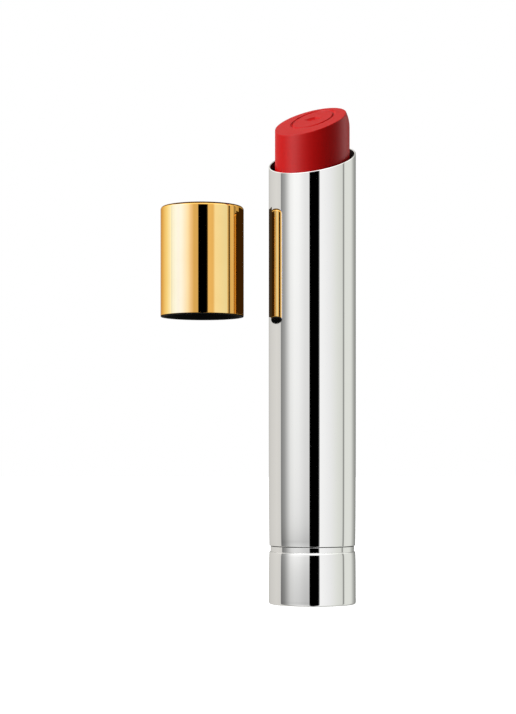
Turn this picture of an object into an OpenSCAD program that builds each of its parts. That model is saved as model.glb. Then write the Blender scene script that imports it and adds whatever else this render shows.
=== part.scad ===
// Slim lipstick with a slanted metal tube, a turning base and a screw that lifts the bullet.
// The origin is the middle of the base's underside, and +Z runs up the tube.
// The cap is off: it hangs beside the tube, mouth down.

/* [Tube] */
// Outside diameter of the tube and of the turning base
tube_d = 14.1; // [14:0.05:14.6]
// Wall of the metal tube
tube_wall = 0.25; // [0.2:0.01:0.3]
// Height of the slanted mouth on the tube's axis
mouth_z = 72; // [70:0.5:80]
// Slope of the mouth
mouth_tilt = 24.3; // [0:0.1:28]
// Direction of the mouth's low side, turned from -Y towards -X
mouth_turn = 21.5; // [0:0.5:45]

/* [Turning base] */
// Height of the turning base
knob_h = 8.45; // [8:0.05:10]
// Height of the groove between the base and the tube
groove_h = 1; // [0.8:0.05:1.5]
// Depth of that groove
groove_depth = 0.28; // [0.2:0.01:0.4]
// Wall of the base's metal shell
knob_wall = 0.3; // [0.25:0.01:0.35]

/* [Bullet] */
// Diameter of the bullet
bullet_d = 12.1; // [11.6:0.1:12.1]
// Height of the bullet's sloping top on its axis
bullet_z = 78.5; // [77:0.1:84]
// Slope of the bullet's top
bullet_tilt = 30; // [0:0.1:32]
// Direction of the top's low side, turned from -Y towards -X
bullet_turn = 30.5; // [0:0.1:45]
// How far under that height, on the axis, the bullet's tip starts to round inwards
round_drop = 1.4; // [0.5:0.1:2]
// Radius of that rounding, seen from the side
round_r = 6; // [4:0.05:6]
// Length of the bullet on its axis
bullet_l = 26.8; // [25:0.1:27]
// Depth of the bullet in its cup
cup_depth = 8; // [6:0.5:9]

/* [Screw] */
// Rise of the carrier in one turn
lead = 8; // [6:0.5:10]
// Outside diameter of the screw
screw_d = 6; // [5.6:0.1:6]
// Depth of the screw's two grooves
thread_depth = 1; // [0.8:0.1:1.1]
// How far the carrier goes down from here
travel_down = 10.5; // [8:0.5:11]

/* [Cap] */
// Outside diameter of the cap, which goes into the tube's mouth
cap_d = 13.55; // [13.3:0.01:13.55]
// Height of the cap
cap_h = 17.9; // [16:0.1:20]
// Wall of the cap's metal shell
cap_wall = 0.3; // [0.25:0.01:0.3]
// Distance of the cap's axis from the tube's, to the left
cap_left = 17.9; // [16:0.1:30]
// Distance of the cap's axis behind the tube's
cap_back = 1.5; // [0:0.1:5]
// Height of the cap's mouth
cap_z = 46.6; // [0:0.1:50]

/* [Hidden] */

$fn = 96;
eps = 0.01;
press = 0.01;      // radial gap left between pieces pressed together
running = 0.05;    // radial gap of a running fit
end_play = 0.04;   // axial gap between turning faces
big = 90;          // half the side of the block that cuts a slope

chrome = [0.80, 0.80, 0.79];
gold = [0.85, 0.66, 0.33];
black = [0.08, 0.07, 0.07];
natural = [0.90, 0.89, 0.84];
alloy = [0.70, 0.71, 0.72];
red = [0.75, 0.13, 0.12];
rubber = [0.25, 0.25, 0.27];

// Heights
tube_foot = knob_h + groove_h;
bullet_foot = bullet_z - bullet_l;
cup_floor = 1;
cup_foot = bullet_foot - cup_floor;
flange_h = 0.8;
stem_l = 26;
stem_foot = cup_foot - stem_l;
sleeve_top = cup_foot - flange_h - travel_down - 0.4;
screw_top = sleeve_top - 1.5;
sleeve_floor = stem_foot - travel_down - 1.2;

// Radii, from the outside in
tube_r = tube_d / 2;
tube_bore = tube_r - tube_wall;
knob_bore = tube_r - knob_wall;
neck_r = 5.5;
neck_bead = 0.3;
stem_r = 4.1;
stem_bore = 3.25;
screw_r = screw_d / 2;
screw_gap = 0.3;
shank_r = screw_r + screw_gap / 2;
key_w = 1;
key_h = 0.6;
key_gap = 0.1;
spigot_r = 2.5;
peg_r = 2;

// Neck and core, which hold the base on the tube
core_foot = 0.4;
core_floor = 1.2;
peg_foot = core_foot + 0.3;
peg_gap = 0.1;
spindle_foot = core_foot + core_floor;
washer_foot = spindle_foot + 0.8;
washer_h = 0.4;
neck_foot = washer_foot + washer_h + 2 * end_play;
bead_foot = neck_foot + 0.3;
bead_h = 1;
ring_z = 6;
ring_groove = 0.55;
ring_r = 0.28;
ring_room = 0.1;

// Screw and nut
nut_h = 2.4;
nut_r = 3.64;
nut_bore = 3.2;
pin_r = 0.55;
pin_tip = 2.3;
pin_z = stem_foot + nut_h / 2;
thread_foot = sleeve_floor - 0.5;
thread_l = screw_top - thread_foot;

// Cap
cap_top = 0.4;
brim_h = 0.15;

// Points of an arc about [x, z], for the outlines that are turned about the axis
function arc(x, z, r, from, to, steps = 6) =
    [for (i = [0 : steps]) let (a = from + (to - from) * i / steps) [x + r * cos(a), z + r * sin(a)]];

// A plain ring or tube
module ring(outer, inner, foot, height) {
    translate([0, 0, foot])
        difference() {
            cylinder(r = outer, h = height);
            translate([0, 0, -eps]) cylinder(r = inner, h = height + 2 * eps);
        }
}

// Everything below a sloping plane that crosses the axis at height z
module below_slope(z, tilt, turn) {
    translate([0, 0, z])
        rotate([tilt, 0, -turn])
        translate([-big, -big, -2 * big]) cube(2 * big);
}

// Chrome tube, open at both ends, with its mouth cut on a slope
module outer_tube() {
    lip = 0.08;
    color(chrome)
    intersection() {
        rotate_extrude()
            polygon(concat(
                [[tube_bore, tube_foot + lip], [tube_bore + lip, tube_foot]],
                arc(tube_r - lip, tube_foot + lip, lip, -90, 0),
                [[tube_r, mouth_z + tube_r], [tube_bore, mouth_z + tube_r]]
            ));
        below_slope(mouth_z, mouth_tilt, mouth_turn);
    }
}

// Moulded guide pressed into the tube: a keyed bore above, and a neck for the base below
module guide_sleeve() {
    wide = tube_bore - press;
    waist = 5.8;
    band = 3;
    ring_low = ring_z - ring_r - ring_room;
    ring_high = ring_z + ring_r + ring_room;
    color(natural)
    difference() {
        rotate_extrude()
            polygon(concat(
                [[0, neck_foot], [neck_r, neck_foot]],
                [[neck_r, bead_foot], [neck_r + neck_bead, bead_foot + neck_bead]],
                [[neck_r + neck_bead, bead_foot + bead_h - neck_bead], [neck_r, bead_foot + bead_h]],
                [[neck_r, ring_low], [neck_r - ring_groove, ring_low]],
                [[neck_r - ring_groove, ring_high], [neck_r, ring_high]],
                [[neck_r, tube_foot], [wide, tube_foot], [wide, tube_foot + band], [waist, tube_foot + band + 1]],
                [[waist, sleeve_top - band - 1], [wide, sleeve_top - band], [wide, sleeve_top], [0, sleeve_top]]
            ));
        translate([0, 0, neck_foot - eps]) cylinder(r = screw_r + screw_gap, h = sleeve_top);
        translate([0, 0, sleeve_floor]) cylinder(r = stem_r + running, h = sleeve_top);
        translate([0, 0, sleeve_floor])
            for (side = [0, 180])
                rotate([0, 0, side])
                translate([0, -key_w / 2 - key_gap, 0])
                cube([stem_r + key_h + key_gap, key_w + 2 * key_gap, sleeve_top]);
    }
}

// Chrome ring that shows in the groove between the base and the tube
module bearing_collar() {
    edge = 0.1;
    inside = neck_r + press;
    outside = tube_r - groove_depth;
    foot = knob_h + end_play;
    color(chrome)
    rotate_extrude()
        polygon([
            [inside, foot], [outside - edge, foot], [outside, foot + edge],
            [outside, tube_foot], [inside, tube_foot]
        ]);
}

// Rubber ring in the neck's groove, which gives the turning base its drag
module drag_ring() {
    color(rubber)
    translate([0, 0, ring_z])
    rotate_extrude()
        translate([neck_r - ring_groove + ring_r + press, 0]) circle(r = ring_r, $fn = 32);
}

// Chrome cup round the base, with a flat closed bottom
module knob_shell() {
    corner = 0.35;
    lip = 0.08;
    color(chrome)
    rotate_extrude()
        polygon(concat(
            [[0, 0]],
            arc(tube_r - corner, corner, corner, -90, 0),
            arc(tube_r - lip, knob_h - lip, lip, 0, 90, 3),
            [[knob_bore, knob_h], [knob_bore, core_foot], [0, core_foot]]
        ));
}

// Moulded core pressed into the base's shell, with a journal for the neck and its snap bead
module knob_core() {
    journal = neck_r + running;
    room = journal + neck_bead;
    top = knob_h - 0.2;
    play = 0.1;
    color(black)
    difference() {
        rotate_extrude()
            polygon([
                [0, core_foot], [knob_bore - press, core_foot], [knob_bore - press, top],
                [journal + 0.2, top], [journal, top - 0.2],
                [journal, bead_foot + bead_h + play], [room, bead_foot + bead_h - neck_bead + play],
                [room, bead_foot + neck_bead - play], [journal, bead_foot - play],
                [journal, spindle_foot], [0, spindle_foot]
            ]);
        translate([0, 0, peg_foot - peg_gap]) cylinder(r = peg_r, h = core_floor);
    }
}

// Screw fixed in the base: a foot flange, a plain shank and two long grooves
module screw_spindle() {
    foot_r = 4.2;
    overlap = 0.3;
    turns = thread_l / lead;
    start = -360 * (pin_z - thread_foot) / lead;
    color(alloy) {
        translate([0, 0, peg_foot]) cylinder(r = peg_r - press, h = core_floor);
        translate([0, 0, spindle_foot]) cylinder(r = foot_r, h = washer_foot - spindle_foot);
        translate([0, 0, spindle_foot]) cylinder(r = shank_r, h = thread_foot - spindle_foot + overlap);
        translate([0, 0, thread_foot])
            linear_extrude(height = thread_l, twist = -360 * turns, slices = ceil(16 * turns), $fn = 20)
            rotate([0, 0, start]) screw_section();
    }
}

// Cross-section of the screw: a round bar with a wide notch on each side
module screw_section() {
    half_land = 44;
    notch = screw_r - thread_depth;
    polygon(concat(
        [for (a = [90 - half_land : half_land / 2 : 90 + half_land]) screw_r * [cos(a), sin(a)]],
        [for (a = [155, 180, 205]) notch * [cos(a), sin(a)]],
        [for (a = [270 - half_land : half_land / 2 : 270 + half_land]) screw_r * [cos(a), sin(a)]],
        [for (a = [-25, 0, 25]) notch * [cos(a), sin(a)]]
    ));
}

// Slippery washer between the screw's flange and the end of the neck
module thrust_washer() {
    color(natural) ring(neck_r - 0.2, screw_r + 0.2, washer_foot, washer_h);
}

// Hollow keyed stem that slides in the guide and carries the cup
module carrier_stem() {
    spigot_h = 0.9;
    bore_top = cup_foot - 1;
    color(natural)
    difference() {
        union() {
            translate([0, 0, stem_foot]) cylinder(r = stem_r, h = stem_l);
            translate([0, 0, cup_foot - flange_h]) cylinder(r = neck_r, h = flange_h);
            translate([0, 0, cup_foot - eps]) cylinder(r = spigot_r, h = spigot_h);
            for (side = [0, 180])
                rotate([0, 0, side])
                translate([0, -key_w / 2, stem_foot]) cube([stem_r + key_h, key_w, stem_l - flange_h]);
        }
        translate([0, 0, stem_foot - eps]) cylinder(r = stem_bore, h = bore_top - stem_foot);
        translate([0, 0, stem_foot - eps]) cylinder(r = nut_r + press, h = nut_h + eps);
    }
}

// Nut pressed into the stem's foot, with two pins that run in the screw's grooves
module drive_nut() {
    color(alloy) {
        ring(nut_r, nut_bore, stem_foot, nut_h);
        for (side = [0, 180])
            rotate([0, 0, side])
            translate([pin_tip, 0, pin_z])
            rotate([0, 90, 0]) cylinder(r = pin_r, h = nut_bore + 0.2 - pin_tip, $fn = 32);
    }
}

// Thin metal cup that holds the foot of the bullet
module bullet_cup() {
    outside = 6.55;
    inside = bullet_d / 2 + 2 * press;
    lip = 0.2;
    color(alloy)
    rotate_extrude()
        polygon(concat(
            [[spigot_r + press, cup_foot]],
            arc(outside - lip, cup_foot + lip, lip, -90, 0, 3),
            arc(outside - lip, bullet_foot + cup_depth - lip, lip, 0, 90, 3),
            [[inside, bullet_foot + cup_depth], [inside, bullet_foot], [spigot_r + press, bullet_foot]]
        ));
}

// Bullet with a rounded tip cut off on a slope, and an oval line and a lozenge pressed into the slope
module bullet() {
    line_r = 3.6;
    line_w = 0.35;
    mark_depth = 0.3;
    mark_shift = 0.2;   // how far the marks are moved towards the slope's high side
    lozenge_l = 1.6;
    lozenge_w = 0.8;
    mark_foot = bullet_foot + cup_depth;
    mark_h = bullet_l + bullet_d;
    r = bullet_d / 2;
    tip = arc(r - round_r, bullet_z - round_drop, round_r, 0, 66, 11);
    color(red)
    difference() {
        intersection() {
            rotate_extrude()
                polygon(concat(
                    [[0, bullet_foot], [r, bullet_foot]],
                    tip,
                    [[0, tip[len(tip) - 1][1]]]
                ));
            below_slope(bullet_z, bullet_tilt, bullet_turn);
        }
        difference() {
            translate([mark_shift * sin(bullet_turn), mark_shift * cos(bullet_turn), mark_foot]) {
                ring(line_r, line_r - line_w, 0, mark_h);
                rotate([0, 0, -bullet_turn])
                    linear_extrude(height = mark_h)
                    polygon([[-lozenge_l, 0], [0, -lozenge_w], [lozenge_l, 0], [0, lozenge_w]]);
            }
            below_slope(bullet_z - mark_depth, bullet_tilt, bullet_turn);
        }
    }
}

// Places the cap's pieces beside the tube
module at_cap() {
    translate([-cap_left, cap_back, cap_z]) children();
}

// Gold cup of the cap, open at its foot
module cap_shell() {
    outside = cap_d / 2;
    inside = outside - cap_wall;
    corner = 0.5;
    color(gold)
    at_cap()
    rotate_extrude()
        polygon(concat(
            [[0, cap_h - cap_top], [inside, cap_h - cap_top]],
            [[inside, brim_h + press], [outside, brim_h + press]],
            arc(outside - corner, cap_h - corner, corner, 0, 90),
            [[0, cap_h]]
        ));
}

// Black moulded lining of the cap, which the bullet goes into, with a brim under the shell's edge
module cap_liner() {
    outside = cap_d / 2 - cap_wall - press;
    inside = 6.17;
    brim = cap_d / 2 - 2 * press;
    roof = cap_h - cap_top - press;
    thick = 0.5;
    color(black)
    at_cap()
    rotate_extrude()
        polygon([
            [0, roof - thick], [inside, roof - thick], [inside, 0], [brim, 0],
            [brim, brim_h], [outside, brim_h], [outside, roof], [0, roof]
        ]);
}

outer_tube();
guide_sleeve();
bearing_collar();
drag_ring();
knob_shell();
knob_core();
screw_spindle();
thrust_washer();
carrier_stem();
drive_nut();
bullet_cup();
bullet();
cap_shell();
cap_liner();
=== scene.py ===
"""A slim lipstick: chrome tube with a slanted mouth, turning base, red bullet, and a gold cap beside it."""

import math

import bpy
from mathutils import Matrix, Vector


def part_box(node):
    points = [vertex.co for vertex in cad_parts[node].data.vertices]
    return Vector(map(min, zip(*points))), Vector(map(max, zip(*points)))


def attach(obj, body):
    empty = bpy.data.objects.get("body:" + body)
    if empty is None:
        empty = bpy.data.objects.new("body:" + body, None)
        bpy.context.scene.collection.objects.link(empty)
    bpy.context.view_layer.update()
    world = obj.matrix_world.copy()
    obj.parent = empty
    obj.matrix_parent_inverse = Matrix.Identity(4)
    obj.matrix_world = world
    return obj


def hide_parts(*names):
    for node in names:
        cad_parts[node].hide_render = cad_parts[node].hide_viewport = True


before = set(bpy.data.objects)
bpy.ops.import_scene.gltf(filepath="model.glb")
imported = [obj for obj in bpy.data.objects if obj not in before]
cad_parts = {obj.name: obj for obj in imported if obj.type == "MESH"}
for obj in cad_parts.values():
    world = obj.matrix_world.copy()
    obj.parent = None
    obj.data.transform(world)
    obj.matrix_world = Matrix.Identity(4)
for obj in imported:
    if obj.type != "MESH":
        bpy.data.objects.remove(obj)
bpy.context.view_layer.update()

MM = 0.001

# ---------------------------------------------------------------- places and sizes, from the frame

TUBE_LOW, TUBE_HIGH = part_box("outer_tube")
KNOB_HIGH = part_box("knob_shell")[1]
COLLAR_LOW, COLLAR_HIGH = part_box("bearing_collar")
BULLET_LOW, BULLET_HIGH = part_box("bullet")
CAP_LOW, CAP_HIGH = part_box("cap_shell")
LINER_LOW, LINER_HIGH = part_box("cap_liner")

TUBE_R = (TUBE_HIGH[0] - TUBE_LOW[0]) / 2
TUBE_WALL = 0.25 * MM
MOUTH_Z = 72 * MM
MOUTH_TILT = math.radians(24.3)
MOUTH_TURN = math.radians(21.5)

KNOB_WALL = 0.3 * MM
WAIST = 0.09 * MM          # how much the tube and the base draw in at the groove
TUBE_WAIST_SPAN = 26 * MM
KNOB_WAIST_SPAN = 8 * MM

BULLET_R = (BULLET_HIGH[0] - BULLET_LOW[0]) / 2
BULLET_TOP = 78.5 * MM
BULLET_TILT = math.radians(30)
BULLET_TURN = math.radians(30.5)
TIP_START = 77.1 * MM      # where the bullet's tip starts to round inwards
TIP_ROUND = 6.0 * MM       # radius of that rounding, seen from the side

CAP_R = (CAP_HIGH[0] - CAP_LOW[0]) / 2
CAP_X = (CAP_HIGH[0] + CAP_LOW[0]) / 2
CAP_Y = (CAP_HIGH[1] + CAP_LOW[1]) / 2
CAP_WALL = 0.3 * MM
CAP_CORNER = 0.5 * MM      # radius of the rounded edge round the cap's top
LINER_BORE = 6.17 * MM

COLLAR_BORE = 5.51 * MM
SKIN_GAP = 0.01 * MM       # kept between visible pieces that lie on each other

ROUND = 256                # facets round each turned piece


# ---------------------------------------------------------------- mesh helpers

def arc(x, z, radius, start, end, steps):
    """Points of an arc about (x, z), from start to end in degrees."""
    points = []
    for i in range(steps + 1):
        a = math.radians(start + (end - start) * i / steps)
        points.append((x + radius * math.cos(a), z + radius * math.sin(a)))
    return points


def slope_rise(tilt, turn, x, y):
    """Height of a sloping plane over its height on the axis, at x, y."""
    return math.tan(tilt) * (x * math.sin(turn) + y * math.cos(turn))


def lathe(name, outline, centre=(0.0, 0.0), closed=True, segments=ROUND):
    """Turns an outline about the vertical through centre. outline(x, y) gives its (radius, z) points in the
    direction x, y, a unit vector, and always as many of them; a radius of 0 makes one point on the axis."""
    verts = []
    rings = [[] for _ in outline(1, 0)]
    for k in range(segments):
        x, y = math.cos(2 * math.pi * k / segments), math.sin(2 * math.pi * k / segments)
        for ring, (radius, z) in zip(rings, outline(x, y)):
            if radius < 1e-9 and ring:
                ring.append(ring[0])
                continue
            ring.append(len(verts))
            verts.append((centre[0] + radius * x, centre[1] + radius * y, z))
    faces = []
    pairs = list(zip(rings, rings[1:])) + ([(rings[-1], rings[0])] if closed else [])
    for low, high in pairs:
        for k in range(segments):
            n = (k + 1) % segments
            face = [low[k], low[n], high[n], high[k]]
            face = [v for j, v in enumerate(face) if v != face[j - 1]]
            faces.append(face)
    mesh = bpy.data.meshes.new(name)
    mesh.from_pydata(verts, [], faces)
    mesh.shade_smooth()
    piece = bpy.data.objects.new(name, mesh)
    bpy.context.scene.collection.objects.link(piece)
    return piece


def waist(z, edge, span):
    """How far the wall draws in at height z: most and fastest at edge, and nothing a span away from it."""
    near = 1 - min(1.0, abs(z - edge) / span)
    return WAIST * (0.4 * near ** 2 + 0.6 * near ** 10)


# ---------------------------------------------------------------- material helpers

def new_material(name):
    """A node material with just its Principled shader; gives the material, its nodes, links and shader."""
    material = bpy.data.materials.new(name)
    material.use_nodes = True
    nodes, links = material.node_tree.nodes, material.node_tree.links
    return material, nodes, links, nodes["Principled BSDF"]


def mapped(nodes, links, scale):
    """Object coordinates scaled by a vector, in metres."""
    coords = nodes.new("ShaderNodeTexCoord")
    mapping = nodes.new("ShaderNodeMapping")
    mapping.inputs["Scale"].default_value = scale
    links.new(coords.outputs["Object"], mapping.inputs["Vector"])
    return mapping.outputs["Vector"]


def noise(nodes, links, vector, scale, detail=4.0, rough=0.55):
    """A noise texture's factor."""
    texture = nodes.new("ShaderNodeTexNoise")
    texture.inputs["Scale"].default_value = scale
    texture.inputs["Detail"].default_value = detail
    texture.inputs["Roughness"].default_value = rough
    links.new(vector, texture.inputs["Vector"])
    return texture.outputs["Fac"]


def spread(nodes, links, factor, low, high, from_low=0.3, from_high=0.7):
    """Maps a factor from one range onto another, clamped."""
    node = nodes.new("ShaderNodeMapRange")
    node.inputs["From Min"].default_value = from_low
    node.inputs["From Max"].default_value = from_high
    node.inputs["To Min"].default_value = low
    node.inputs["To Max"].default_value = high
    links.new(factor, node.inputs["Value"])
    return node.outputs["Result"]


def two_colours(nodes, links, factor, first, second):
    """Blends two colours by a factor."""
    ramp = nodes.new("ShaderNodeValToRGB")
    ramp.color_ramp.elements[0].color = (*first, 1)
    ramp.color_ramp.elements[1].color = (*second, 1)
    links.new(factor, ramp.inputs["Fac"])
    return ramp.outputs["Color"]


def bump(nodes, links, height, strength, distance, shader):
    """Bump from a height factor, straight into the shader's normal."""
    node = nodes.new("ShaderNodeBump")
    node.inputs["Strength"].default_value = strength
    node.inputs["Distance"].default_value = distance
    links.new(height, node.inputs["Height"])
    links.new(node.outputs["Normal"], shader.inputs["Normal"])


def polished_metal(name, light, dark, rough_low, rough_high, edge=(1, 1, 1)):
    """Mirror-polished metal: faint drawing lines up the wall, and cloudy wear in its gloss."""
    material, nodes, links, shader = new_material(name)
    cloud = noise(nodes, links, mapped(nodes, links, (1, 1, 1)), 260, 5)
    lines = noise(nodes, links, mapped(nodes, links, (1, 1, 0.02)), 5200, 3)
    links.new(two_colours(nodes, links, cloud, dark, light), shader.inputs["Base Color"])
    links.new(spread(nodes, links, cloud, rough_low, rough_high), shader.inputs["Roughness"])
    shader.inputs["Metallic"].default_value = 1.0
    shader.inputs["Specular Tint"].default_value = (*edge, 1)
    bump(nodes, links, lines, 0.008, 0.00002, shader)
    return material


def satin_metal(name, light, dark):
    """Bare turned metal, with fine rings round it."""
    material, nodes, links, shader = new_material(name)
    rings = noise(nodes, links, mapped(nodes, links, (0.05, 0.05, 1)), 9000, 3)
    links.new(two_colours(nodes, links, rings, dark, light), shader.inputs["Base Color"])
    links.new(spread(nodes, links, rings, 0.3, 0.45), shader.inputs["Roughness"])
    shader.inputs["Metallic"].default_value = 1.0
    bump(nodes, links, rings, 0.2, 0.00003, shader)
    return material


def moulded_plastic(name, light, dark, roughness, gloss=0.5):
    """Moulded plastic with a fine eroded texture."""
    material, nodes, links, shader = new_material(name)
    grain = noise(nodes, links, mapped(nodes, links, (1, 1, 1)), 6000, 4)
    links.new(two_colours(nodes, links, grain, dark, light), shader.inputs["Base Color"])
    links.new(spread(nodes, links, grain, roughness - 0.06, roughness + 0.08), shader.inputs["Roughness"])
    shader.inputs["Specular IOR Level"].default_value = gloss
    bump(nodes, links, grain, 0.25, 0.00003, shader)
    return material


def lipstick_wax(name):
    """Satin red wax: faint streaks round it, a little cloudiness and a fine grain."""
    material, nodes, links, shader = new_material(name)
    streaks = noise(nodes, links, mapped(nodes, links, (0.25, 0.25, 1)), 2600, 4)
    grain = noise(nodes, links, mapped(nodes, links, (1, 1, 1)), 7000, 3)
    links.new(two_colours(nodes, links, streaks, (0.55, 0.0005, 0.0005), (0.64, 0.002, 0.002)),
              shader.inputs["Base Color"])
    links.new(spread(nodes, links, grain, 0.42, 0.54), shader.inputs["Roughness"])
    shader.inputs["Specular IOR Level"].default_value = 0.12
    bump(nodes, links, grain, 0.15, 0.00003, shader)
    return material


CHROME = polished_metal("chrome", (0.93, 0.93, 0.93), (0.91, 0.91, 0.91), 0.02, 0.035)
GOLD = polished_metal("gold", (0.88, 0.49, 0.12), (0.84, 0.45, 0.10), 0.02, 0.035, (0.98, 0.72, 0.42))
# near-black gold: a painted dark reflection for the band round the cap's top edge
PAINTED_REFLECTION_GOLD = polished_metal("gold_painted_dark_reflection", (0.06, 0.03, 0.008), (0.05, 0.025, 0.006), 0.1, 0.15, (0.9, 0.6, 0.3))
# near-black metal standing for painted shade: the inside of the tube and the parting slot in the groove ring
PAINTED_SHADE_METAL = satin_metal("bore_painted_shade", (0.10, 0.10, 0.10), (0.07, 0.07, 0.07))
ALLOY = satin_metal("bare_alloy", (0.72, 0.73, 0.74), (0.62, 0.63, 0.64))
BLACK = moulded_plastic("black_plastic", (0.004, 0.004, 0.004), (0.002, 0.002, 0.002), 0.6, 0.08)
NATURAL = moulded_plastic("natural_plastic", (0.82, 0.81, 0.76), (0.76, 0.75, 0.70), 0.45)
RUBBER = moulded_plastic("seal_rubber", (0.03, 0.03, 0.032), (0.022, 0.022, 0.024), 0.8)
WAX = lipstick_wax("red_wax")


def dress(node, material):
    """Gives a carried-over CAD node its material."""
    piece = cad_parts[node]
    piece.data.materials.clear()
    piece.data.materials.append(material)


# ---------------------------------------------------------------- pieces

def tube():
    """The chrome tube, with a rounded lip round its slanted mouth and a near-black bore that is painted
    shade.
    """
    inner = TUBE_R - TUBE_WALL
    lip = TUBE_WALL / 2
    foot = TUBE_LOW[2]
    edge = 0.08 * MM
    near = 0.03 * MM
    steps = 24
    start = foot + TUBE_WAIST_SPAN
    low = [(r - WAIST, z) for r, z in arc(TUBE_R - edge, foot + edge, edge, -90, 0, 6)]
    wall = [foot + edge + (start - foot - edge) * i / steps for i in range(1, steps + 1)]
    side = [(TUBE_R - waist(z, foot, TUBE_WAIST_SPAN), z) for z in wall]
    bottom = [(inner, foot + edge + near), (inner, foot + near), (inner + near, foot)]

    def outline(x, y):
        rise = slope_rise(MOUTH_TILT, MOUTH_TURN, TUBE_R * x, TUBE_R * y)
        high = MOUTH_Z + rise - lip
        top = [(TUBE_R, high - near)] + arc(TUBE_R - lip, high, lip, 0, 180, 12) + [(inner, high - near)]
        return low + side + top + bottom

    piece = lathe("tube_skin", outline)
    piece.data.materials.append(CHROME)
    piece.data.materials.append(PAINTED_SHADE_METAL)
    for face in piece.data.polygons:
        radius = math.hypot(face.center.x, face.center.y)
        outward = face.normal.x * face.center.x + face.normal.y * face.center.y
        # the faces of the bore get the near-black metal: painted shade inside the tube
        if radius < inner + 0.02 * MM and outward < 0:
            face.material_index = 1
    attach(piece, "tube")
    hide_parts("outer_tube")


def knob():
    """The chrome cup round the turning base, drawn in a little towards the groove."""
    top = KNOB_HIGH[2]
    inner = TUBE_R - KNOB_WALL
    corner = 0.3 * MM
    edge = 0.08 * MM
    near = 0.03 * MM
    floor = 0.4 * MM
    steps = 16
    base = [(0, 0), (TUBE_R - corner - near, 0)] + arc(TUBE_R - corner, corner, corner, -90, 0, 10)
    side = []
    for i in range(1, steps + 1):
        z = corner + (top - edge - corner) * i / steps
        side.append((TUBE_R - waist(z, top, KNOB_WAIST_SPAN), z))
    rim = [(r - WAIST, z) for r, z in arc(TUBE_R - edge, top - edge, edge, 0, 90, 6)][1:]
    inside = [
        (inner + near, top), (inner, top - near), (inner, floor + near), (inner - near, floor), (0, floor),
    ]
    profile = base + side + rim + inside
    piece = lathe("base_skin", lambda x, y: profile, closed=False)
    piece.data.materials.append(CHROME)
    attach(piece, "base")
    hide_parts("knob_shell")


def collar():
    """The chrome ring in the groove, with painted shade in the parting slot under the tube's foot."""
    outer = (COLLAR_HIGH[0] - COLLAR_LOW[0]) / 2
    inner = COLLAR_BORE
    low, high = KNOB_HIGH[2] + SKIN_GAP, COLLAR_HIGH[2]
    near = 0.05 * MM
    slot, slot_r = 0.12 * MM, outer - 0.5 * MM
    profile = [
        (inner, low), (outer - near, low), (outer, low), (outer, low + near), (outer, high - slot - near),
        (outer, high - slot), (slot_r, high - slot), (slot_r, high), (inner, high),
    ]
    piece = lathe("groove_ring", lambda x, y: profile)
    piece.data.materials.append(CHROME)
    piece.data.materials.append(PAINTED_SHADE_METAL)
    for face in piece.data.polygons:
        # the parting slot gets the near-black metal: painted shade in the gap under the tube's foot
        if face.center.z > high - slot - 0.1 * near:
            face.material_index = 1
    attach(piece, "tube")
    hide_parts("bearing_collar")


def pressed_depth(x, y):
    """Depth of the oval line and the small lozenge pressed into the bullet's top, at x, y."""
    line_r, line_w, depth, shift = 3.42 * MM, 0.22 * MM, 0.3 * MM, 0.2 * MM
    x -= shift * math.sin(BULLET_TURN)
    y -= shift * math.cos(BULLET_TURN)
    off = abs(math.hypot(x, y) - line_r) / line_w
    line = max(0.0, 1 - off ** 4)
    u = x * math.cos(BULLET_TURN) - y * math.sin(BULLET_TURN)
    v = x * math.sin(BULLET_TURN) + y * math.cos(BULLET_TURN)
    lozenge = max(0.0, min(1.0, (1 - abs(u) / (1.7 * MM) - abs(v) / (0.9 * MM)) * 7))
    return depth * max(line, lozenge)


def tip_radius(z):
    """Radius of the bullet's rounded tip at height z."""
    rise = min(max(0.0, z - TIP_START), 0.99 * TIP_ROUND)
    return BULLET_R - TIP_ROUND + math.sqrt(TIP_ROUND ** 2 - rise ** 2)


def bullet():
    """The red bullet: a rounded tip cut off on a slope, with a crisp rim and the pressed marks."""
    foot = BULLET_LOW[2]
    crisp = 0.11 * MM
    near = 0.05 * MM
    wall_steps, rim_steps, top_steps = 16, 8, 150
    side = [
        (0, foot), (BULLET_R - 3 * near, foot), (BULLET_R - near, foot + 0.2 * near),
        (BULLET_R, foot + near), (BULLET_R, foot + 2 * near),
    ]

    def slope(r, x, y):
        return BULLET_TOP + slope_rise(BULLET_TILT, BULLET_TURN, r * x, r * y)

    def rim_radius(x, y):
        """Where the rounded side meets the slope, found by closing in on it."""
        rim = BULLET_R
        for _ in range(40):
            rim = (rim + tip_radius(slope(rim, x, y))) / 2
        return rim

    def outline(x, y):
        rim = rim_radius(x, y)
        rim_z = slope(rim, x, y)
        start = min(TIP_START, rim_z) - 1.2 * MM
        below = [start + (rim_z - crisp - start) * i / wall_steps for i in range(wall_steps + 1)]
        tip = [(tip_radius(z), z) for z in below]
        last, last_z = tip[-1]
        inset = rim - crisp
        inset_z = slope(inset, x, y)
        for i in range(1, rim_steps + 1):
            t = i / rim_steps
            keep, bend, new = (1 - t) ** 2, 2 * t * (1 - t), t * t
            tip.append((keep * last + bend * rim + new * inset, keep * last_z + bend * rim_z + new * inset_z))
        top = []
        for i in range(1, top_steps + 1):
            r = inset * (1 - i / top_steps)
            top.append((r, slope(r, x, y) - pressed_depth(r * x, r * y)))
        return side + tip + top

    piece = lathe("bullet_wax", outline, closed=False)
    piece.data.materials.append(WAX)
    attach(piece, "carrier")
    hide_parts("bullet")


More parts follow.
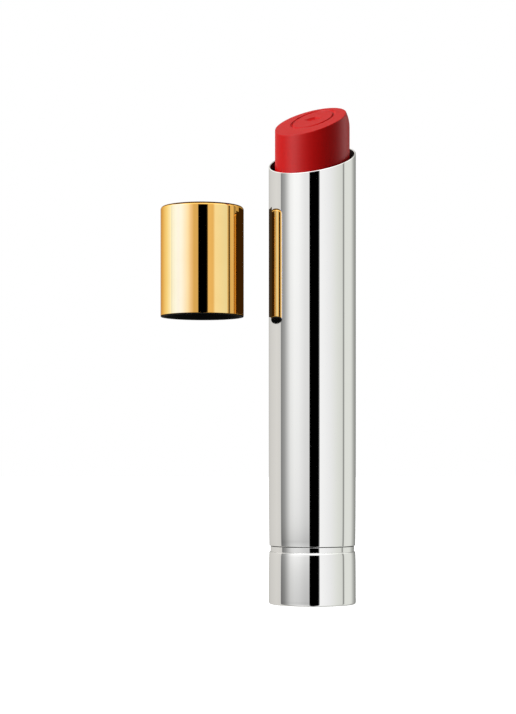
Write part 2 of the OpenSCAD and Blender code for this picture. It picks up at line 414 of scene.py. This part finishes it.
def cap():
    """The gold cap: thin shell, with a painted dark reflection round its softly rounded top edge."""
    low, high = CAP_LOW[2], CAP_HIGH[2]
    inner = CAP_R - CAP_WALL
    corner = CAP_CORNER
    lip = 0.05 * MM
    near = 0.03 * MM
    roof = 0.4 * MM
    inside = [(0, high - roof), (inner - near, high - roof), (inner, high - roof - near)]
    mouth = [(inner, low + near), (inner + near, low), (CAP_R - lip - near, low)]
    mouth += arc(CAP_R - lip, low + lip, lip, -90, 0, 5) + [(CAP_R, low + lip + near)]
    crown = [(CAP_R, high - corner - near)] + arc(CAP_R - corner, high - corner, corner, 0, 90, 14)
    crown += [(CAP_R - corner - near, high), (0, high)]
    profile = inside + mouth + crown
    piece = lathe("cap_skin", lambda x, y: profile, (CAP_X, CAP_Y), closed=False)
    piece.data.materials.append(GOLD)
    piece.data.materials.append(PAINTED_REFLECTION_GOLD)
    # the faces of the rounded top edge get the painted dark reflection
    reflection_foot, reflection_top = high - 0.55 * corner, high - 0.04 * corner
    for face in piece.data.polygons:
        if reflection_foot < face.center.z < reflection_top:
            face.material_index = 1
    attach(piece, "cap")
    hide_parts("cap_shell")


def liner():
    """The black lining of the cap, with its brim under the shell's edge."""
    low, high = LINER_LOW[2], LINER_HIGH[2]
    brim_r = (LINER_HIGH[0] - LINER_LOW[0]) / 2
    wall_r = CAP_R - CAP_WALL - SKIN_GAP
    brim = CAP_LOW[2] - SKIN_GAP
    near = 0.04 * MM
    roof = 0.5 * MM
    profile = [
        (0, high - roof), (LINER_BORE - 2 * near, high - roof), (LINER_BORE, high - roof - 2 * near),
        (LINER_BORE, low + 2 * near), (LINER_BORE + near, low + 0.3 * near), (LINER_BORE + 2 * near, low),
        (brim_r - near, low), (brim_r, low + near), (brim_r, brim - SKIN_GAP), (brim_r - SKIN_GAP, brim),
        (wall_r, brim), (wall_r, high - 2 * near), (wall_r - 2 * near, high), (0, high),
    ]
    piece = lathe("cap_lining", lambda x, y: profile, (CAP_X, CAP_Y), closed=False)
    piece.data.materials.append(BLACK)
    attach(piece, "cap")
    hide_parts("cap_liner")


tube()
knob()
collar()
bullet()
cap()
liner()

for node_name, node_material in (
    ("guide_sleeve", NATURAL), ("drag_ring", RUBBER), ("knob_core", BLACK), ("screw_spindle", ALLOY),
    ("thrust_washer", NATURAL), ("carrier_stem", NATURAL), ("drive_nut", ALLOY), ("bullet_cup", ALLOY),
):
    dress(node_name, node_material)


# ---------------------------------------------------------------- floor and painted shade sheets

def staged(name, corners, colour, glow):
    """A flat staged sheet through four corners: a matt grey that also glows in a colour."""
    mesh = bpy.data.meshes.new(name)
    mesh.from_pydata(corners, [], [(0, 1, 2, 3)])
    piece = bpy.data.objects.new(name, mesh)
    bpy.context.scene.collection.objects.link(piece)
    material, nodes, links, shader = new_material(name + "_paper")
    shader.inputs["Base Color"].default_value = (colour, colour, colour, 1)
    shader.inputs["Roughness"].default_value = 0.9
    shader.inputs["Specular IOR Level"].default_value = 0.0
    shader.inputs["Emission Color"].default_value = (*glow, 1)
    shader.inputs["Emission Strength"].default_value = 1.0
    mesh.materials.append(material)
    return piece


def floor():
    """A plain pale floor, which the polished metal doesn't mirror."""
    side = 3.0
    under = -0.02 * MM
    corners = [(-side, -side, under), (side, -side, under), (side, side, under), (-side, side, under)]
    piece = staged("floor", corners, 0.8, (0.75, 0.75, 0.75))
    piece.visible_glossy = False
    piece.visible_diffuse = False


def painted_shade_sheet(name, corners, glow):
    """A dark sheet that glows faintly brown and that only mirrors see: a painted reflection of shade, held
    beside the cap wherever the cap goes.
    """
    piece = staged(name, corners, 0.0, glow)
    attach(piece, "cap")
    piece.visible_camera = False
    piece.visible_diffuse = False
    piece.visible_shadow = False
    piece.visible_transmission = False


def upright(x0, y0, x1, y1):
    """Corners of an upright sheet as high as the cap, between two places given in mm from the cap's axis."""
    low, high = CAP_LOW[2], CAP_HIGH[2]
    a, b = (CAP_X + x0 * MM, CAP_Y + y0 * MM), (CAP_X + x1 * MM, CAP_Y + y1 * MM)
    return [(*a, low), (*b, low), (*b, high), (*a, high)]


def painted_shade_sheets():
    """Two dark sheets of painted shade between the cap and the tube, mirrored as dark brown reflections: one
    closes the gap, and one stands in its middle.
    """
    # the sheets glow a faint dark brown: a painted reflection of the cap's shaded side
    painted_brown = (0.045, 0.028, 0.012)
    painted_shade_sheet("card_gap", upright(6.6, 2.0, 11.6, 2.0), painted_brown)
    painted_shade_sheet("card_between", upright(8.8, -1.3, 8.8, 2.0), painted_brown)


floor()
painted_shade_sheets()


# ---------------------------------------------------------------- light

def ramp_at(nodes, links, factor, stops, place=lambda value: value):
    """A colour ramp through stops of (value, grey level or colour); place turns a value into a position."""
    ramp = nodes.new("ShaderNodeValToRGB")
    elements = ramp.color_ramp.elements
    for i, (value, level) in enumerate(stops):
        if i == 0:
            element = elements[0]
        elif i == len(stops) - 1:
            element = elements[len(elements) - 1]
        else:
            element = elements.new(place(value))
        element.position = place(value)
        element.color = (*level, 1) if isinstance(level, tuple) else (level, level, level, 1)
    links.new(factor, ramp.inputs["Fac"])
    return ramp.outputs["Color"]


def blend(nodes, links, kind, factor, first, second):
    """A colour mix node: kind is MIX or MULTIPLY; each input is a socket or a constant grey."""
    node = nodes.new("ShaderNodeMix")
    node.data_type = "RGBA"
    node.blend_type = kind
    for i, value in ((0, factor), (6, first), (7, second)):
        if isinstance(value, (int, float)):
            node.inputs[i].default_value = value if i == 0 else (value, value, value, 1)
        else:
            links.new(value, node.inputs[i])
    return node.outputs[2]


def maths(nodes, links, operation, first, second=None):
    """A maths node on sockets or constants."""
    node = nodes.new("ShaderNodeMath")
    node.operation = operation
    for i, value in enumerate((first, second)):
        if isinstance(value, (int, float)):
            node.inputs[i].default_value = value
        elif value is not None:
            links.new(value, node.inputs[i])
    return node.outputs["Value"]


def tent():
    """A light tent of pale panels, with a narrow dark gap low in front. Mirrors, matt surfaces and the camera
    each get their own version of it. Stops are at bearings, in degrees to the right of the front, or at
    heights, in degrees above the level."""
    world = bpy.data.worlds.new("tent")
    bpy.context.scene.world = world
    world.use_nodes = True
    nodes, links = world.node_tree.nodes, world.node_tree.links
    coords = nodes.new("ShaderNodeTexCoord")
    split = nodes.new("ShaderNodeSeparateXYZ")
    links.new(coords.outputs["Generated"], split.inputs["Vector"])
    forward = maths(nodes, links, "MULTIPLY", split.outputs["Y"], -1)
    turn = maths(nodes, links, "ARCTAN2", split.outputs["X"], forward)
    rise = maths(nodes, links, "ARCSINE", split.outputs["Z"])
    bearing = spread(nodes, links, turn, 0, 1, -math.pi, math.pi)
    height = spread(nodes, links, rise, 0, 1, -math.pi / 2, math.pi / 2)

    def around(degrees):
        return (degrees + 180) / 360

    def above(degrees):
        return (degrees + 90) / 180

    panels = ramp_at(nodes, links, bearing, [
        (-180, 0.30), (-165, 0.60), (-140, 0.68), (-110, 0.74), (-94, 0.70), (-92.5, 0.22), (-88, 0.30),
        (-80, 0.39), (-74, 0.55), (-61, 0.93), (-50, 1.02), (-38, 1.00), (-20, 0.85), (-8.8, 0.82),
        (17.2, 0.97), (30, 0.94), (53, 0.85), (78, 0.74), (85.5, 0.70), (87.5, 0.28), (91, 0.30),
        (93, 0.78), (112, 0.79), (123, 0.76), (139, 0.42), (155, 0.28), (180, 0.20),
    ], around)
    gap = ramp_at(nodes, links, bearing, [
        (-180, 1.0), (-9.6, 1.0), (-8.8, 0.0), (14.4, 0.0), (16.8, 0.1), (17.4, 1.0), (180, 1.0),
    ], around)
    over_gap = ramp_at(nodes, links, height, [(-90, 0.0), (12.5, 0.0), (13.5, 1.0), (90, 1.0)], above)
    tint = ramp_at(nodes, links, bearing, [
        (-180, (1.0, 0.975, 0.92)), (-98, (1.0, 0.975, 0.92)), (-90, (1.0, 1.0, 0.975)),
        (-30, (1.0, 1.0, 0.99)), (45, (1.0, 1.0, 0.995)), (70, (0.985, 1.0, 0.935)),
        (180, (0.985, 1.0, 0.94)),
    ], around)
    fade = ramp_at(nodes, links, height, [
        (-90, 0.8), (-14, 0.8), (-6, 0.60), (-4, 0.66), (-2.4, 0.80), (-0.8, 0.86), (1.4, 0.90), (8.4, 1.0),
        (90, 1.0),
    ], above)
    ceiling = ramp_at(nodes, links, height, [(-90, 1.0), (14, 1.0), (32, 1.8), (90, 1.8)], above)
    fades_at = ramp_at(nodes, links, bearing, [
        (-180, 0.15), (-94, 0.15), (-92, 1.0), (-8, 1.0), (10, 0.0), (180, 0.0),
    ], around)
    mirrored = blend(nodes, links, "MULTIPLY", 1.0, panels, tint)
    low_gap = blend(nodes, links, "MIX", over_gap, gap, 1.0)
    mirrored = blend(nodes, links, "MULTIPLY", 1.0, mirrored, low_gap)
    mirrored = blend(nodes, links, "MULTIPLY", fades_at, mirrored, fade)
    mirrored = blend(nodes, links, "MULTIPLY", 1.0, mirrored, ceiling)
    matt = ramp_at(nodes, links, bearing, [
        (-180, 0.25), (-90, 0.20), (0, 0.14), (55, 0.14), (95, 0.5), (150, 0.6), (180, 0.3),
    ], around)
    paths = nodes.new("ShaderNodeLightPath")
    lit = blend(nodes, links, "MIX", paths.outputs["Is Diffuse Ray"], mirrored, matt)
    seen = blend(nodes, links, "MIX", paths.outputs["Is Camera Ray"], lit, 1.0)
    links.new(seen, nodes["Background"].inputs["Color"])


def only_on(piece, names):
    """Makes a light fall on the named pieces alone."""
    group = bpy.data.collections.new(piece.name + "_lit")
    for name in names:
        group.objects.link(bpy.data.objects[name])
    piece.light_linking.receiver_collection = group


def key(name, strength, bearing, height):
    """A broad distant light from a bearing and a height, in degrees."""
    data = bpy.data.lights.new(name, "SUN")
    data.energy = strength
    data.angle = math.radians(30)
    piece = bpy.data.objects.new(name, data)
    piece.rotation_euler = (math.radians(90 - height), 0, math.radians(bearing))
    bpy.context.scene.collection.objects.link(piece)
    return piece


PANEL_HIGH = 1.6           # metres
PANEL_MIDDLE = 0.1


def panel(name, centre, width, stops, colour, strength, names):
    """A tall soft panel a metre away, centred on a bearing and as wide as an angle. Only the named pieces
    mirror it. Its stops are (bearing, level or colour)."""
    half = math.tan(math.radians(width / 2))
    data = bpy.data.lights.new(name, "AREA")
    data.shape = "RECTANGLE"
    data.size, data.size_y = 2 * half, PANEL_HIGH
    data.color = colour
    data.energy = strength * data.size * data.size_y * math.pi
    data.use_nodes = True
    nodes, links = data.node_tree.nodes, data.node_tree.links
    geometry = nodes.new("ShaderNodeNewGeometry")
    split = nodes.new("ShaderNodeSeparateXYZ")
    links.new(geometry.outputs["Parametric"], split.inputs["Vector"])

    def across(bearing):
        return (1 + math.tan(math.radians(bearing - centre)) / half) / 2

    links.new(ramp_at(nodes, links, split.outputs["X"], stops, across), nodes["Emission"].inputs["Color"])
    piece = bpy.data.objects.new(name, data)
    a = math.radians(centre)
    piece.location = (CAP_X + math.sin(a), CAP_Y - math.cos(a), PANEL_MIDDLE)
    piece.rotation_euler = (math.radians(90), 0, a)
    piece.visible_camera = False
    piece.visible_diffuse = False
    bpy.context.scene.collection.objects.link(piece)
    only_on(piece, names)


tent()
key("key", 2.85, -65, 30).visible_glossy = False
for shine in (key("wax_shine", 6, -65, 30), key("wax_rim", 0.75, 112, 12)):
    shine.visible_diffuse = False
    only_on(shine, ["bullet_wax"])
panel("cap_left", -88, 136, [
    (-156, 0.0), (-140, (0.03, 0.033, 0.06)), (-128, (0.043, 0.07, 0.15)), (-112, (0.06, 0.114, 0.22)),
    (-99, (0.07, 0.157, 0.47)), (-87, (0.14, 0.26, 0.87)), (-76, (0.115, 0.25, 1.0)),
    (-66, (0.065, 0.19, 0.97)), (-57, (0.045, 0.165, 0.88)), (-48, (0.03, 0.125, 0.65)),
    (-39, (0.03, 0.105, 0.44)), (-30, (0.02, 0.04, 0.17)), (-21, 0.0),
], (1.0, 1.0, 1.0), 6.1, ["cap_skin"])
panel("cap_right", 68, 76, [
    (30, 0.0), (32, 0.0), (38, 0.9), (66, 1.0), (106, 1.0),
], (0.12, 0.34, 1.0), 1.8, ["cap_skin"])


# ---------------------------------------------------------------- camera

def camera():
    """A long lens, level, set to the left of the tube at about a quarter of its height."""
    data = bpy.data.cameras.new("camera")
    data.sensor_width = 36
    data.lens = 90.8
    data.shift_y = 0.151
    data.clip_start = 0.01
    data.clip_end = 20
    piece = bpy.data.objects.new("camera", data)
    piece.location = (-8.8 * MM, -292 * MM, 22.5 * MM)
    piece.rotation_euler = (math.radians(90), 0, 0)
    bpy.context.scene.collection.objects.link(piece)
    bpy.context.scene.camera = piece


camera()
bpy.context.scene.view_settings.view_transform = "Standard"
bpy.context.scene.view_settings.look = "None"
